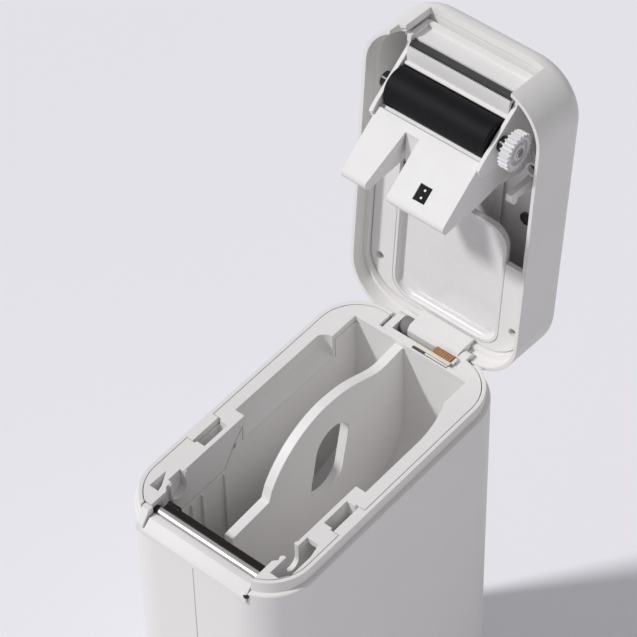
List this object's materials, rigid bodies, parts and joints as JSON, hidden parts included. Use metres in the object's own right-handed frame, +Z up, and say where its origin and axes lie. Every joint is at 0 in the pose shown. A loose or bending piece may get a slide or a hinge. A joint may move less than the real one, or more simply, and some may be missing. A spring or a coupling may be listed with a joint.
{
  "type": "label printer",
  "caption": "Upright label printer with a hinged lid open over twin roll lanes, print head strip at the front and platen roller in the lid.",
  "frame": {"origin": "centre of the body's footprint, on the table, at the underside of the rubber mat", "axes": "+Z up, -Y towards the side the labels leave from, +X towards the printer's right side"},
  "size_m": [0.076, 0.1666, 0.3145],
  "materials": {
    "shell_white": "fine satin moulding",
    "frame_white": "satin moulding",
    "pane_gloss": "glossy",
    "gear_white": "satin acetal",
    "roller_black": "matte",
    "shaft_steel": "satin",
    "sheet_steel": "satin",
    "bright_metal": "polished",
    "head_black": "semi-gloss",
    "bush_black": "semi-gloss",
    "blade_dark": "blackened",
    "sensor_black": "matte",
    "ribbon_orange": "polyimide film",
    "ribbon_white": "satin film",
    "clamp_cream": "satin",
    "board_green": "solder mask",
    "inlet_metal": "satin"
  },
  "bodies": {
    "body": {"body_shell_left": "shell_white", "body_shell_right": "shell_white", "base_plate": "frame_white", "base_mat": "roller_black", "top_frame": "frame_white", "roll_bin": "frame_white", "roll_divider": "frame_white", "exit_ledge": "frame_white", "print_head": "head_black", "head_bracket": "sheet_steel", "head_heatsink": "bright_metal", "head_spring": "sheet_steel", "ribbon_clamp": "clamp_cream", "flex_cable": "ribbon_orange", "hinge_pin": "shaft_steel", "gear_plate": "sheet_steel", "drive_motor": "sheet_steel", "idler_axle": "shaft_steel", "second_idler_axle": "shaft_steel", "main_board": "board_green", "power_inlet": "inlet_metal"},
    "lid": {"lid_shell": "shell_white", "lid_cover": "frame_white", "lid_pane": "pane_gloss", "exit_panel": "frame_white", "tear_blade": "blade_dark", "platen_carrier": "frame_white", "label_guide": "frame_white", "gap_sensor": "sensor_black", "sensor_ribbon": "ribbon_white", "latch_tongue_left": "frame_white", "latch_tongue_right": "frame_white", "bush_left": "bush_black", "bush_right": "bush_black", "cover_screw_left": "shaft_steel", "cover_screw_right": "shaft_steel"},
    "platen": {"platen_rubber": "roller_black", "platen_shaft": "shaft_steel", "platen_gear": "gear_white"},
    "first_idler": {"idler_gear": "gear_white"},
    "second_idler": {"second_idler": "gear_white"},
    "pinion": {"motor_pinion": "gear_white"},
    "button": {"power_button": "shell_white"}
  },
  "joints": [
    {"name": "lid_hinge", "type": "hinge", "parent": "body", "child": "lid", "pos_m": [0, 0.065, 0.1855], "axis": [-1, 0, 0], "range_deg": [-94.9, 0]},
    {"name": "platen_spin", "type": "hinge", "parent": "lid", "child": "platen", "pos_m": [0, 0.07192, 0.29431], "axis": [1, 0, 0], "continuous": true},
    {"name": "first_idler_spin", "type": "hinge", "parent": "body", "child": "first_idler", "pos_m": [0.0294, -0.044, 0.1666], "axis": [1, 0, 0], "continuous": true},
    {"name": "second_idler_spin", "type": "hinge", "parent": "body", "child": "second_idler", "pos_m": [0.0294, -0.044, 0.1479], "axis": [1, 0, 0], "continuous": true},
    {"name": "pinion_spin", "type": "hinge", "parent": "body", "child": "pinion", "pos_m": [0.0294, -0.0496, 0.13595], "axis": [1, 0, 0], "continuous": true},
    {"name": "power_press", "type": "slide", "parent": "body", "child": "button", "axis": [0, -1, 0], "range_m": [0, 0.0008], "stiffness_N_per_m": 600}
  ],
  "couplings": [
    {"joint": "second_idler_spin", "follows": "first_idler_spin", "ratio": -1.125},
    {"joint": "pinion_spin", "follows": "first_idler_spin", "ratio": 2.25}
  ]
}
